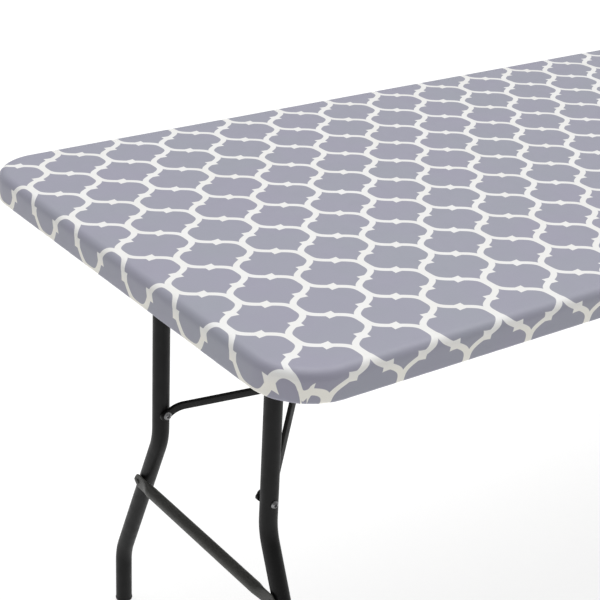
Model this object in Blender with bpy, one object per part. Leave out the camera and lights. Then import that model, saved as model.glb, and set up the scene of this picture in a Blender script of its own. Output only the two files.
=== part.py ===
"""Folding banquet table dressed in a fitted, elastic-edged tablecloth.

Frame: metres, +Z up. The origin is on the floor under the middle of the table.
+X runs along the table, +Y across it. "left" is the -X end, "near" is the -Y side.
"""
import math

import bmesh
import bpy
from mathutils import Matrix, Vector

# --- driving dimensions, in metres ---------------------------------------------------------
GAP = 0.0003                      # air between two touching pieces
CLOTH_TOP_Z = 0.737               # height of the dressed table
CLOTH_DROP = 0.0408               # skirt height, from the top face to its lowest line
VINYL = 0.0008                    # printed vinyl layer
FLANNEL = 0.0008                  # flannel backing layer
BOARD_LENGTH = 1.829              # 72 in
BOARD_WIDTH = 0.762               # 30 in
BOARD_CORNER = 0.074              # corner radius in plan
EDGE_RADIUS = 0.011               # rounding of the board's top edge
LOWER_EDGE_RADIUS = 0.002         # rounding of the board's lower edge
CORNER_STEPS = 7                  # straight pieces in one corner arc
EDGE_STEPS = 3                    # straight pieces in one edge rounding
RIM_WIDTH = 0.044                 # the board's downturned rim
RIM_DRAFT = 0.005                 # slope of the recess wall
DECK_THICK = 0.018                # board thickness over the recess
HEM_RETURN = 0.032                # cloth that turns under the rim
HEM_HEIGHT = 0.006                # the rolled casing at the cloth's edge
ELASTIC_RADIUS = 0.0016

PIVOT_X = 0.7614                  # leg pivot, from the table's middle
PIVOT_Z = 0.6875
PIVOT_TUBE_RADIUS = 0.0111
PIVOT_TUBE_HALF = 0.309
TUBE_WALL = 0.0012
LEG_RADIUS = 0.0127               # 1 in tube
LEG_TOP_Y = 0.139                 # upper, upright part of a leg
LEG_FOOT_Y = 0.250                # lower, upright part of a leg
BEND_TOP_Z = 0.357
BEND_LOW_Z = 0.094
BEND_LENGTH = 0.020               # straight tube used up on each side of a bend
BEND_STEPS = 4
FOOT_FLANGE = 0.005
STRETCHER_Z = 0.268
STRETCHER_RADIUS = 0.009
STRETCHER_FLAT = (0.0025, 0.012)  # half thickness and half height of a flattened end
STRETCHER_HALF = 0.1855

BOLT_Z = 0.404                    # brace bolt on each leg
BOLT_RADIUS = 0.004
BRACE_SLOPE = math.radians(27.0)  # brace, straight from bolt to table bracket
ARM_HALF = (0.003, 0.006)         # brace arm, half thickness and half height
STEM_Y = 0.0115                   # each arm's place beside the table's centre plane
ARM_KNEE = 0.0200                 # from the bolt along the arm to its first bend
ARM_APEX = 0.1452                 # from the bolt along the arm to where the arms meet
LINK_HALF = (0.004, 0.006)
EYE_RADIUS = 0.008
EYE_HALF = 0.008
PIN_RADIUS = 0.003
HOLE_PLAY = 0.0004

RAIL_Y = 0.300                    # inner face of a rail's web
RAIL_HALF = 0.800
RAIL_SHEET = 0.002
RAIL_FLANGE = 0.026
RAIL_BOTTOM_Z = 0.668
BUSH_RADIUS = 0.0137
BUSH_FLANGE = 0.0180
BRACKET_HALF_X = 0.014
BRACKET_EAR = (0.0045, 0.0065)    # inner and outer face of a bracket ear
SCREW_RADIUS = 0.0040
SCREW_HEIGHT = 0.0022
SCREWS_PER_RAIL = 4

ROUND = 12                        # sides of a tube
SMALL_ROUND = 10                  # sides of a pin

# --- sizes that follow ---------------------------------------------------------------------
CLOTH = VINYL + FLANNEL + 2 * GAP
BOARD_TOP_Z = CLOTH_TOP_Z - CLOTH
BOARD_BOTTOM_Z = CLOTH_TOP_Z - CLOTH_DROP + CLOTH
DECK_BOTTOM_Z = BOARD_TOP_Z - DECK_THICK
LEVER = PIVOT_Z - BOLT_Z
BRACE_REACH = LEVER / math.tan(BRACE_SLOPE)
BRACE_LENGTH = LEVER / math.sin(BRACE_SLOPE)
ARM_LENGTH = (BRACE_LENGTH + BRACE_REACH - LEVER) / 2
LINK_LENGTH = BRACE_LENGTH - ARM_LENGTH
ARM_TAB_Y = LEG_TOP_Y - LEG_RADIUS - GAP - ARM_HALF[0]
STRETCHER_X = PIVOT_X + LEG_RADIUS + GAP + STRETCHER_FLAT[0]
BRACKET_X = PIVOT_X - BRACE_REACH
RECESS_INSET = RIM_WIDTH + RIM_DRAFT

ENDS = (("left", -1.0), ("right", 1.0))
SIDES = (("near", -1.0), ("far", 1.0))


# --- helpers -------------------------------------------------------------------------------
def clear_scene():
    """Start from an empty scene."""
    for obj in list(bpy.data.objects):
        bpy.data.objects.remove(obj, do_unlink=True)


def material(name, colour, roughness, metallic=0.0):
    """A Principled material."""
    mat = bpy.data.materials.new(name)
    mat.use_nodes = True
    shader = mat.node_tree.nodes["Principled BSDF"]
    shader.inputs["Base Color"].default_value = (*colour, 1.0)
    shader.inputs["Roughness"].default_value = roughness
    shader.inputs["Metallic"].default_value = metallic
    mat.diffuse_color = (*colour, 1.0)
    return mat


def empty(name, location):
    """An empty that stands on a joint's axis."""
    obj = bpy.data.objects.new(name, None)
    obj.location = location
    bpy.context.collection.objects.link(obj)
    return obj


def add_part(name, bm, mat, parent=None, smooth=True):
    """Make an object from a bmesh drawn in table coordinates, and hang it on its joint."""
    bmesh.ops.recalc_face_normals(bm, faces=bm.faces)
    origin = parent.location if parent else Vector()
    bmesh.ops.translate(bm, verts=bm.verts, vec=-origin)
    mesh = bpy.data.meshes.new(name)
    bm.to_mesh(mesh)
    bm.free()
    mesh.materials.append(mat)
    if smooth:
        mesh.shade_smooth()
        mesh.set_sharp_from_angle(angle=math.radians(35.0))
    obj = bpy.data.objects.new(name, mesh)
    bpy.context.collection.objects.link(obj)
    obj.parent = parent
    return obj


def loft(bm, rings, closed=False):
    """Skin a row of rings with the same number of points, and cap its ends unless closed."""
    rows = [[bm.verts.new(point) for point in ring] for ring in rings]
    pairs = list(zip(rows, rows[1:]))
    if closed:
        pairs.append((rows[-1], rows[0]))
    for first, second in pairs:
        for k in range(len(first)):
            after = (k + 1) % len(first)
            bm.faces.new((first[k], first[after], second[after], second[k]))
    if not closed:
        bm.faces.new(rows[0])
        bm.faces.new(rows[-1])
    return bm


def rounded_rectangle(inset, z):
    """Points of the board's outline, drawn in by inset, at height z."""
    radius = BOARD_CORNER - inset
    half_x = BOARD_LENGTH / 2 - inset
    half_y = BOARD_WIDTH / 2 - inset
    points = []
    for corner, (sx, sy) in enumerate(((1, 1), (-1, 1), (-1, -1), (1, -1))):
        centre_x = sx * (half_x - radius)
        centre_y = sy * (half_y - radius)
        for step in range(CORNER_STEPS + 1):
            angle = math.pi / 2 * (corner + step / CORNER_STEPS)
            points.append((centre_x + radius * math.cos(angle),
                           centre_y + radius * math.sin(angle), z))
    return points


def edge_profile(offset, reach):
    """(inset, z) down the outside of the edge, offset from the board, then in under the rim."""
    top = BOARD_TOP_Z + offset
    bottom = BOARD_BOTTOM_Z - offset
    upper = EDGE_RADIUS + offset
    lower = LOWER_EDGE_RADIUS + offset
    profile = []
    for step in range(EDGE_STEPS + 1):
        angle = math.pi / 2 * step / EDGE_STEPS
        profile.append((upper * (1 - math.sin(angle)) - offset, top - upper * (1 - math.cos(angle))))
    for step in range(EDGE_STEPS + 1):
        angle = math.pi / 2 * step / EDGE_STEPS
        profile.append((lower * (1 - math.cos(angle)) - offset,
                        bottom + lower * (1 - math.sin(angle))))
    profile.append((reach, bottom))
    return profile


def tube(path, radius, wall, across):
    """A round tube along a path that lies in the plane whose normal is across."""
    outer = bmesh.new()
    rings = []
    for ring_radius in (radius, radius - wall):
        for i, point in enumerate(path):
            before = Vector(path[max(i - 1, 0)])
            after = Vector(path[min(i + 1, len(path) - 1)])
            along = (after - before).normalized()
            side = along.cross(across).normalized()
            rings.append([Vector(point)
                          + across * (ring_radius * math.cos(2 * math.pi * k / ROUND))
                          + side * (ring_radius * math.sin(2 * math.pi * k / ROUND))
                          for k in range(ROUND)])
        if ring_radius == radius:
            outer_rings = rings
            rings = []
    return loft(outer, outer_rings + rings[::-1], closed=True)


def cylinder(bm, start, end, radius, sides=SMALL_ROUND):
    """A solid cylinder between two points, added to bm."""
    start = Vector(start)
    end = Vector(end)
    turn = (end - start).to_track_quat("Z", "Y").to_matrix().to_4x4()
    place = Matrix.Translation((start + end) / 2) @ turn
    bmesh.ops.create_cone(bm, cap_ends=True, segments=sides, radius1=radius, radius2=radius,
                          depth=(end - start).length, matrix=place)


def turned(profile, centre, axis, sides=ROUND):
    """Rings of a (radius, height) outline turned about an axis."""
    turn = Vector(axis).to_track_quat("Z", "Y").to_matrix().to_4x4()
    place = Matrix.Translation(centre) @ turn
    rings = []
    for radius, height in profile:
        rings.append([place @ Vector((radius * math.cos(2 * math.pi * k / sides),
                                      radius * math.sin(2 * math.pi * k / sides), height))
                      for k in range(sides)])
    return rings


def cut(obj, cutter_bm, name):
    """Take the cutter's shape out of an object."""
    bmesh.ops.recalc_face_normals(cutter_bm, faces=cutter_bm.faces)
    mesh = bpy.data.meshes.new(name)
    cutter_bm.to_mesh(mesh)
    cutter_bm.free()
    cutter = bpy.data.objects.new(name, mesh)
    cutter.hide_render = True
    cutter.display_type = "WIRE"
    bpy.context.collection.objects.link(cutter)
    modifier = obj.modifiers.new("holes", "BOOLEAN")
    modifier.object = cutter
    modifier.operation = "DIFFERENCE"
    modifier.solver = "EXACT"
    return cutter


def oval(centre, thin, tall, half):
    """Eight points of a flattened tube's section; half is (half thickness, half height)."""
    thick, high = half
    chamfer = min(thick, high) * 0.6
    outline = ((thick, high - chamfer), (thick - chamfer, high), (chamfer - thick, high),
               (-thick, high - chamfer), (-thick, chamfer - high), (chamfer - thick, -high),
               (thick - chamfer, -high), (thick, chamfer - high))
    return [Vector(centre) + thin * a + tall * b for a, b in outline]


def arc_points(corner, before, after):
    """Points that round a path's corner, BEND_LENGTH from it on each side."""
    corner = Vector(corner)
    start = corner + (Vector(before) - corner).normalized() * BEND_LENGTH
    end = corner + (Vector(after) - corner).normalized() * BEND_LENGTH
    points = []
    for step in range(BEND_STEPS + 1):
        t = step / BEND_STEPS
        points.append(start * (1 - t) ** 2 + corner * (2 * t * (1 - t)) + end * t ** 2)
    return points


# --- table top -----------------------------------------------------------------------------
def make_board(mat):
    """Moulded top: flat deck, rounded edge and a rim that stands down round a recess."""
    profile = edge_profile(0.0, RIM_WIDTH)
    profile.append((RECESS_INSET, DECK_BOTTOM_Z))
    bm = loft(bmesh.new(), [rounded_rectangle(inset, z) for inset, z in profile])
    add_part("tabletop_board", bm, mat)


def make_cloth_layer(name, inner, thickness, mat):
    """One layer of the fitted cloth: over the top, down the edge and in under the rim."""
    outside = edge_profile(inner + thickness, HEM_RETURN)
    inside = edge_profile(inner, HEM_RETURN)
    rings = [rounded_rectangle(inset, z) for inset, z in outside + inside[::-1]]
    add_part(name, loft(bmesh.new(), rings), mat)


def hem_loop(section):
    """Sweep a closed (inset, z) section round the table."""
    rings = [rounded_rectangle(inset, z) for inset, z in section]
    return loft(bmesh.new(), rings, closed=True)


def make_hem(vinyl, elastic):
    """The casing sewn along the cloth's edge and the elastic cord inside it."""
    top = BOARD_BOTTOM_Z - GAP
    inset = HEM_RETURN + GAP
    width = 2 * HEM_HEIGHT
    wall = 0.001
    mouth = 0.001
    bottom = top - HEM_HEIGHT
    section = ((inset, top), (inset, bottom), (inset + width, bottom), (inset + width, top),
               (inset + width / 2 + mouth, top), (inset + width / 2 + mouth, top - wall),
               (inset + width - wall, top - wall), (inset + width - wall, bottom + wall),
               (inset + wall, bottom + wall), (inset + wall, top - wall),
               (inset + width / 2 - mouth, top - wall), (inset + width / 2 - mouth, top))
    add_part("hem_casing", hem_loop(section), vinyl, smooth=False)
    centre_inset = inset + width / 2
    centre_z = (top + bottom) / 2
    cord = [(centre_inset + ELASTIC_RADIUS * math.cos(math.pi * k / 3),
             centre_z + ELASTIC_RADIUS * math.sin(math.pi * k / 3)) for k in range(6)]
    add_part("hem_elastic", hem_loop(cord), elastic)


def make_rails(steel, plastic, zinc):
    """Two angle rails under the deck, with the bushes and screws that go with them."""
    flange_top = DECK_BOTTOM_Z - GAP
    flange_low = flange_top - RAIL_SHEET
    for side, sy in SIDES:
        outline = ((RAIL_Y, RAIL_BOTTOM_Z), (RAIL_Y + RAIL_SHEET, RAIL_BOTTOM_Z),
                   (RAIL_Y + RAIL_SHEET, flange_low), (RAIL_Y + RAIL_FLANGE, flange_low),
                   (RAIL_Y + RAIL_FLANGE, flange_top), (RAIL_Y, flange_top))
        rings = [[(x, sy * y, z) for y, z in outline] for x in (-RAIL_HALF, RAIL_HALF)]
        rail = add_part("side_rail_" + side, loft(bmesh.new(), rings), steel, smooth=False)
        holes = bmesh.new()
        for _, sx in ENDS:
            cylinder(holes, (sx * PIVOT_X, sy * (RAIL_Y - 0.004), PIVOT_Z),
                     (sx * PIVOT_X, sy * (RAIL_Y + 0.006), PIVOT_Z), BUSH_RADIUS + GAP, ROUND)
        cut(rail, holes, "rail_holes_" + side)
        for i in range(SCREWS_PER_RAIL):
            x = RAIL_HALF * 0.9 * (2 * i / (SCREWS_PER_RAIL - 1) - 1)
            y = sy * (RAIL_Y + RAIL_FLANGE * 0.6)
            add_screw(f"rail_screw_{side}_{i + 1}", x, y, flange_low, zinc)
        for end, sx in ENDS:
            add_part(f"pivot_bush_{end}_{side}", pivot_bush(sx, sy), plastic)


def add_screw(name, x, y, seat_z, mat):
    """Head of a screw driven up against a sheet whose lower face is at seat_z."""
    bm = bmesh.new()
    cylinder(bm, (x, y, seat_z - GAP - SCREW_HEIGHT), (x, y, seat_z - GAP), SCREW_RADIUS, 8)
    add_part(name, bm, mat)


def pivot_bush(sx, sy):
    """Flanged plastic bush in a rail's hole, round the pivot tube."""
    bore = PIVOT_TUBE_RADIUS + GAP * 2
    lip = RAIL_SHEET + GAP
    profile = ((bore, -0.004), (BUSH_RADIUS - GAP, -0.004), (BUSH_RADIUS - GAP, lip),
               (BUSH_FLANGE, lip), (BUSH_FLANGE, lip + 0.002), (bore, lip + 0.002))
    rings = turned(profile, (sx * PIVOT_X, sy * RAIL_Y, PIVOT_Z), (0, sy, 0))
    return loft(bmesh.new(), rings, closed=True)


def make_bracket(end, sx, steel, zinc):
    """Clevis under the deck that holds the brace link, with its pin and screws."""
    x = sx * BRACKET_X
    base_top = DECK_BOTTOM_Z - GAP
    base_low = base_top - RAIL_SHEET
    inner, outer = BRACKET_EAR
    ear_low = PIVOT_Z - 0.009
    foot = 0.030
    outline = ((-foot, base_top), (-foot, base_low), (-outer, base_low), (-outer, ear_low),
               (-inner, ear_low), (-inner, base_low), (inner, base_low), (inner, ear_low),
               (outer, ear_low), (outer, base_low), (foot, base_low), (foot, base_top))
    rings = [[(x + dx, y, z) for y, z in outline] for dx in (-BRACKET_HALF_X, BRACKET_HALF_X)]
    bracket = add_part("link_bracket_" + end, loft(bmesh.new(), rings), steel, smooth=False)
    holes = bmesh.new()
    cylinder(holes, (x, -0.02, PIVOT_Z), (x, 0.02, PIVOT_Z), PIN_RADIUS + HOLE_PLAY)
    cut(bracket, holes, "bracket_hole_" + end)
    pin = bmesh.new()
    cylinder(pin, (x, -0.0078, PIVOT_Z), (x, 0.0078, PIVOT_Z), PIN_RADIUS)
    add_part("link_pin_" + end, pin, zinc)
    for side, sy in SIDES:
        add_screw(f"bracket_screw_{end}_{side}", x, sy * foot * 0.68, base_low, zinc)


# --- leg frames ----------------------------------------------------------------------------
def leg_path(x, sy):
    """Centre line of one leg, from the pivot tube to the floor plug."""
    top = Vector((x, sy * LEG_TOP_Y, PIVOT_Z - PIVOT_TUBE_RADIUS - GAP))
    upper = Vector((x, sy * LEG_TOP_Y, BEND_TOP_Z))
    lower = Vector((x, sy * LEG_FOOT_Y, BEND_LOW_Z))
    foot = Vector((x, sy * LEG_FOOT_Y, FOOT_FLANGE + GAP))
    return [top] + arc_points(upper, top, lower) + arc_points(lower, upper, foot) + [foot]


def make_leg_frame(end, sx, pivot, steel, dark, zinc, plastic):
    """One folding end: pivot tube, two bent legs, stretcher, floor plugs and brace bolts."""
    x = sx * PIVOT_X
    across = Vector((1, 0, 0))
    ends = [Vector((x, -PIVOT_TUBE_HALF, PIVOT_Z)), Vector((x, PIVOT_TUBE_HALF, PIVOT_Z))]
    add_part("pivot_tube_" + end, tube(ends, PIVOT_TUBE_RADIUS, TUBE_WALL, across), steel, pivot)
    for side, sy in SIDES:
        leg = add_part("leg_" + end + "_" + side,
                       tube(leg_path(x, sy), LEG_RADIUS, TUBE_WALL, across), steel, pivot)
        hole = bmesh.new()
        reach = LEG_RADIUS + 0.004
        cylinder(hole, (x, sy * (LEG_TOP_Y - reach), BOLT_Z), (x, sy * (LEG_TOP_Y + reach), BOLT_Z),
                 BOLT_RADIUS + GAP)
        cut(leg, hole, "bolt_hole_" + end + "_" + side)
        add_part("floor_plug_" + end + "_" + side, floor_plug(x, sy * LEG_FOOT_Y), plastic, pivot)
        add_part("brace_bolt_" + end + "_" + side, brace_bolt(x, sy), zinc, pivot)
    add_part("stretcher_" + end, stretcher(sx), dark, pivot)


def floor_plug(x, y):
    """Plastic plug in the foot of a leg, with a thin flange that stands on the floor."""
    bore = LEG_RADIUS - TUBE_WALL - 2 * GAP
    flange = LEG_RADIUS + 0.0006
    profile = ((bore, 0.024), (bore, FOOT_FLANGE), (flange, FOOT_FLANGE), (flange, 0.001),
               (flange - 0.001, 0.0))
    return loft(bmesh.new(), turned(profile, (x, y, 0.0), (0, 0, 1)))


def brace_bolt(x, sy):
    """Shouldered bolt through a leg and its brace arm: domed head outside, rolled end inside."""
    inner = -(LEG_TOP_Y - ARM_TAB_Y + ARM_HALF[0] + GAP)
    outer = LEG_RADIUS + GAP
    profile = ((0.0042, inner - 0.0026), (0.0062, inner - 0.0010), (0.0062, inner),
               (BOLT_RADIUS, inner), (BOLT_RADIUS, outer), (0.0050, outer),
               (0.0050, outer + 0.0012), (0.0030, outer + 0.0026))
    centre = (x, sy * LEG_TOP_Y, BOLT_Z)
    return loft(bmesh.new(), turned(profile, centre, (0, sy, 0), SMALL_ROUND))


def stretcher(sx):
    """Cross tube welded to the outer faces of both legs by its flattened ends."""
    flat_thick, flat_high = STRETCHER_FLAT
    stations = ((STRETCHER_HALF, flat_thick, flat_high * 0.7),
                (STRETCHER_HALF - 0.004, flat_thick, flat_high),
                (STRETCHER_HALF - 0.028, flat_thick, flat_high),
                (STRETCHER_HALF - 0.048, STRETCHER_RADIUS, STRETCHER_RADIUS))
    ends = [(-y, thick, high) for y, thick, high in stations]
    row = ends + [(y, thick, high) for y, thick, high in reversed(stations)]
    rings = []
    for y, thick, high in row:
        rings.append([(sx * STRETCHER_X + thick * math.cos(2 * math.pi * k / ROUND), y,
                       STRETCHER_Z + high * math.sin(2 * math.pi * k / ROUND))
                      for k in range(ROUND)])
    return loft(bmesh.new(), rings)


# --- brace ---------------------------------------------------------------------------------
def along_brace(sx, distance, y, lift=0.0):
    """A point on the brace line, measured from the bolt; lift is square to the line."""
    slope_x = math.cos(BRACE_SLOPE)
    slope_z = math.sin(BRACE_SLOPE)
    x = -PIVOT_X + distance * slope_x - lift * slope_z
    z = BOLT_Z + distance * slope_z + lift * slope_x
    return Vector((-sx * x, y, z))


def make_brace_arms(end, sx, joint, steel, zinc):
    """Two arms that start on the legs, close to a V and run on side by side to the knee."""
    tall = along_brace(sx, 0, 0, 1.0) - along_brace(sx, 0, 0)
    for side, sy in SIDES:
        stations = ((-0.0100, ARM_TAB_Y), (ARM_KNEE - 0.004, ARM_TAB_Y),
                    (ARM_KNEE + 0.004, ARM_TAB_Y - 0.004), (ARM_APEX - 0.006, STEM_Y + 0.006),
                    (ARM_APEX + 0.006, STEM_Y), (ARM_LENGTH + 0.009, STEM_Y))
        centres = [along_brace(sx, distance, sy * y) for distance, y in stations]
        rings = []
        for i, centre in enumerate(centres):
            forward = centres[min(i + 1, len(centres) - 1)] - centres[max(i - 1, 0)]
            thin = forward.cross(tall).normalized()
            rings.append(oval(centre, thin, tall, ARM_HALF))
        arm = add_part("brace_arm_" + end + "_" + side, loft(bmesh.new(), rings), steel, joint)
        holes = bmesh.new()
        for distance, y, radius in ((0.0, ARM_TAB_Y, BOLT_RADIUS), (ARM_LENGTH, STEM_Y, PIN_RADIUS)):
            cylinder(holes, along_brace(sx, distance, sy * (y - 0.006)),
                     along_brace(sx, distance, sy * (y + 0.006)), radius + HOLE_PLAY)
        cut(arm, holes, "arm_holes_" + end + "_" + side)
        centre = along_brace(sx, ARM_LENGTH, sy * STEM_Y)
        add_part("knee_rivet_" + end + "_" + side, knee_rivet(centre, sy), zinc, joint)


def knee_rivet(centre, sy):
    """Half rivet through one arm at the knee, with its domed head outside."""
    outer = ARM_HALF[0] + GAP
    profile = ((0.0030, outer + 0.0022), (0.0052, outer + 0.0010), (0.0052, outer),
               (PIN_RADIUS, outer), (PIN_RADIUS, -ARM_HALF[0]))
    return loft(bmesh.new(), turned(profile, centre, (0, sy, 0), SMALL_ROUND))


def make_link(end, sx, joint, steel):
    """Upper half of the brace: a flat bar with an eye at the knee and a hole at the bracket."""
    thick, high = LINK_HALF
    steps = 4
    outline = []
    for step in range(steps + 1):
        angle = math.pi * (step / steps - 0.5)
        outline.append((BRACE_LENGTH + high * math.cos(angle), high * math.sin(angle)))
    for step in range(steps + 1):
        angle = math.pi * (step / steps + 0.5)
        outline.append((ARM_LENGTH + EYE_RADIUS * math.cos(angle), high * math.sin(angle)))
    rings = [[along_brace(sx, d, y, lift) for d, lift in outline] for y in (-thick, thick)]
    link = add_part("brace_link_" + end, loft(bmesh.new(), rings), steel, joint)
    holes = bmesh.new()
    for distance in (ARM_LENGTH, BRACE_LENGTH):
        cylinder(holes, along_brace(sx, distance, -0.02), along_brace(sx, distance, 0.02),
                 PIN_RADIUS + HOLE_PLAY)
    cut(link, holes, "link_holes_" + end)
    for side, sy in SIDES:
        centre = along_brace(sx, ARM_LENGTH, sy * (thick + GAP))
        add_part("knee_spacer_" + end + "_" + side, knee_spacer(centre, sy), steel, joint)


def knee_spacer(centre, sy):
    """Washer on the link's eye that keeps it midway between the arms."""
    bore = PIN_RADIUS + HOLE_PLAY
    rim = EYE_RADIUS - 0.002
    depth = EYE_HALF - LINK_HALF[0] - GAP
    profile = ((bore, 0.0), (rim, 0.0), (rim, depth), (bore, depth))
    rings = turned(profile, centre, (0, sy, 0), SMALL_ROUND)
    return loft(bmesh.new(), rings, closed=True)


def build():
    """Build the whole table."""
    clear_scene()
    vinyl = material("printed_vinyl", (0.37, 0.37, 0.45), 0.42)
    flannel = material("flannel_backing", (0.86, 0.86, 0.84), 0.95)
    elastic = material("elastic", (0.80, 0.80, 0.78), 0.90)
    resin = material("moulded_resin", (0.72, 0.72, 0.70), 0.55)
    steel = material("black_powder_coat", (0.020, 0.020, 0.020), 0.45)
    dark = material("grey_powder_coat", (0.042, 0.042, 0.039), 0.50)
    zinc = material("zinc_fastener", (0.30, 0.30, 0.31), 0.35, 1.0)
    plastic = material("black_plastic", (0.030, 0.030, 0.030), 0.60)

    make_board(resin)
    make_cloth_layer("flannel_backing", GAP, FLANNEL, flannel)
    make_cloth_layer("printed_vinyl_cover", GAP * 2 + FLANNEL, VINYL, vinyl)
    make_hem(vinyl, elastic)
    make_rails(steel, plastic, zinc)
    for end, sx in ENDS:
        make_bracket(end, sx, steel, zinc)
        pivot = empty("leg_pivot_" + end, (sx * PIVOT_X, 0.0, PIVOT_Z))
        bolt = empty("brace_pivot_" + end, (sx * PIVOT_X, 0.0, BOLT_Z))
        clevis = empty("link_pivot_" + end, (sx * BRACKET_X, 0.0, PIVOT_Z))
        make_leg_frame(end, sx, pivot, steel, dark, zinc, plastic)
        make_brace_arms(end, sx, bolt, steel, zinc)
        make_link(end, sx, clevis, steel)


build()
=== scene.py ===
"""Looks of a folding banquet table dressed in a fitted, elastic-edged tablecloth.

Frame: metres, +Z up, origin on the floor under the middle of the table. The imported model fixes
every place and size; the classes below build finer pieces round it and give each its finish.
"""
from __future__ import annotations

import logging
import math
from dataclasses import dataclass, field
from enum import Enum
from typing import Sequence

import bmesh
import bpy
from mathutils import Matrix, Vector, noise


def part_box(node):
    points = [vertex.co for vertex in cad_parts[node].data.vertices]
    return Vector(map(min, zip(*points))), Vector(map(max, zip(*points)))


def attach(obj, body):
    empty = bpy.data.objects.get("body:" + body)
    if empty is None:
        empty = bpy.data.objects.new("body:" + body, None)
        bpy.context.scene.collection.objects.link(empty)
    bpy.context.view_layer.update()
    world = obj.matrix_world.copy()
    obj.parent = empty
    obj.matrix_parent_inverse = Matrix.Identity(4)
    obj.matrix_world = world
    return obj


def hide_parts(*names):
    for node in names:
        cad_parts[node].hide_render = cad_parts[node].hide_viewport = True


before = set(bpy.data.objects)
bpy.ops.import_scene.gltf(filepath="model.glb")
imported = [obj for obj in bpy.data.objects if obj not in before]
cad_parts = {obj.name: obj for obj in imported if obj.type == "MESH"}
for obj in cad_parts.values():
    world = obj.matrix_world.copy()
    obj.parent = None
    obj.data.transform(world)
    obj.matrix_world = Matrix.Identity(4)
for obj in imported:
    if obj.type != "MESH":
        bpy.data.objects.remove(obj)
log = logging.getLogger("table")

Colour = tuple[float, float, float]
Profile = Sequence[tuple[float, float]]


# --- names ---------------------------------------------------------------------------------
class End(Enum):
    """The two ends of the table, with the sign of their X."""

    LEFT = -1
    RIGHT = 1

    @property
    def word(self) -> str:
        """The end's name in lower case."""
        return self.name.lower()


class Side(Enum):
    """The two long sides of the table, with the sign of their Y."""

    NEAR = -1
    FAR = 1

    @property
    def word(self) -> str:
        """The side's name in lower case."""
        return self.name.lower()


class Slot(Enum):
    """The record's material slots."""

    VINYL = "printed_vinyl"
    FLANNEL = "flannel_backing"
    ELASTIC = "elastic"
    RESIN = "moulded_resin"
    STEEL = "black_powder_coat"
    DARK_STEEL = "grey_powder_coat"
    ZINC = "zinc_fastener"
    PLASTIC = "black_plastic"


# --- material building ---------------------------------------------------------------------
NOISE_RANGE = (0.3, 0.7)


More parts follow.
